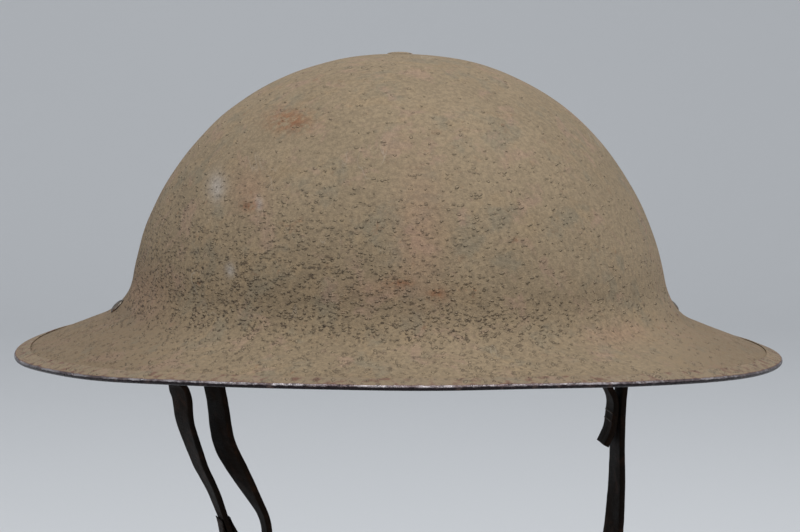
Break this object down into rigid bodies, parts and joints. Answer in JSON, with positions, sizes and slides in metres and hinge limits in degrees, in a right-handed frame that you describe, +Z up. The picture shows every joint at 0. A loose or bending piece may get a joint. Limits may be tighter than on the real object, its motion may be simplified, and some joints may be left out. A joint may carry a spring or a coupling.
{
  "type": "helmet",
  "caption": "Steel trench helmet with a wide shallow brim, folded rim band, riveted liner with rubber tubes and net, and a leather chin strap hung on wire bails.",
  "frame": {"origin": "middle of the head opening, level with the lowest points of the rim", "axes": "+X from side to side, +Y from front to back, +Z up through the crown rivet"},
  "size_m": [0.2896, 0.3088, 0.2754],
  "materials": {
    "painted_shell": "rough",
    "rim_steel": "worn",
    "rivet_steel": "worn",
    "wire_steel": "dull",
    "buckle_brass": "aged",
    "strap_leather": "worn",
    "thread": "matte",
    "oilcloth": "satin",
    "band_leather": "matte",
    "felt": "matte",
    "webbing": "matte",
    "twine": "matte",
    "tube_rubber": "matte"
  },
  "bodies": {
    "root": {"shell": "painted_shell", "rim_band": "rim_steel", "crown_rivet": "rivet_steel", "crown_washer": "rivet_steel", "crown_strap_long": "webbing", "crown_strap_cross": "webbing", "crown_pad": "felt", "liner_band": "band_leather", "liner_rivets": "rivet_steel", "felt_band": "felt", "headband": "oilcloth", "crown_net": "twine", "drawstring": "twine", "left_lug": "wire_steel", "right_lug": "wire_steel", "left_lug_rivet": "rivet_steel", "right_lug_rivet": "rivet_steel", "cushion_01": "tube_rubber", "cushion_02": "tube_rubber", "cushion_03": "tube_rubber", "cushion_04": "tube_rubber", "cushion_05": "tube_rubber", "cushion_06": "tube_rubber", "cushion_07": "tube_rubber", "cushion_08": "tube_rubber", "cushion_09": "tube_rubber", "cushion_10": "tube_rubber", "cushion_11": "tube_rubber", "cushion_12": "tube_rubber"},
    "left_bail": {"left_bail": "wire_steel"},
    "right_bail": {"right_bail": "wire_steel"},
    "chin_strap": {"chin_strap": "strap_leather", "eye_stitching": "thread"},
    "buckle": {"buckle": "buckle_brass", "buckle_chape": "strap_leather", "chape_rivet": "buckle_brass"}
  },
  "joints": [
    {"name": "left_bail_swing", "type": "hinge", "parent": "root", "child": "left_bail", "pos_m": [-0.11079, 0, 0.00975], "axis": [0, 1, 0], "range_deg": [-12, 12]},
    {"name": "right_bail_swing", "type": "hinge", "parent": "root", "child": "right_bail", "pos_m": [0.11079, 0, 0.00975], "axis": [0, 1, 0], "range_deg": [-13, 13]},
    {"name": "strap_sway", "type": "hinge", "parent": "left_bail", "child": "chin_strap", "pos_m": [-0.08195, 0, -0.00629], "axis": [0, 1, 0], "range_deg": [-17, 17]},
    {"name": "buckle_slide", "type": "slide", "parent": "chin_strap", "child": "buckle", "axis": [0.3397, 0, -0.9405], "range_m": [-0.008, 0.008]}
  ],
  "couplings": [
    {"joint": "right_bail_swing", "follows": "left_bail_swing", "ratio": 1},
    {"joint": "strap_sway", "follows": "left_bail_swing", "ratio": -1.346}
  ]
}
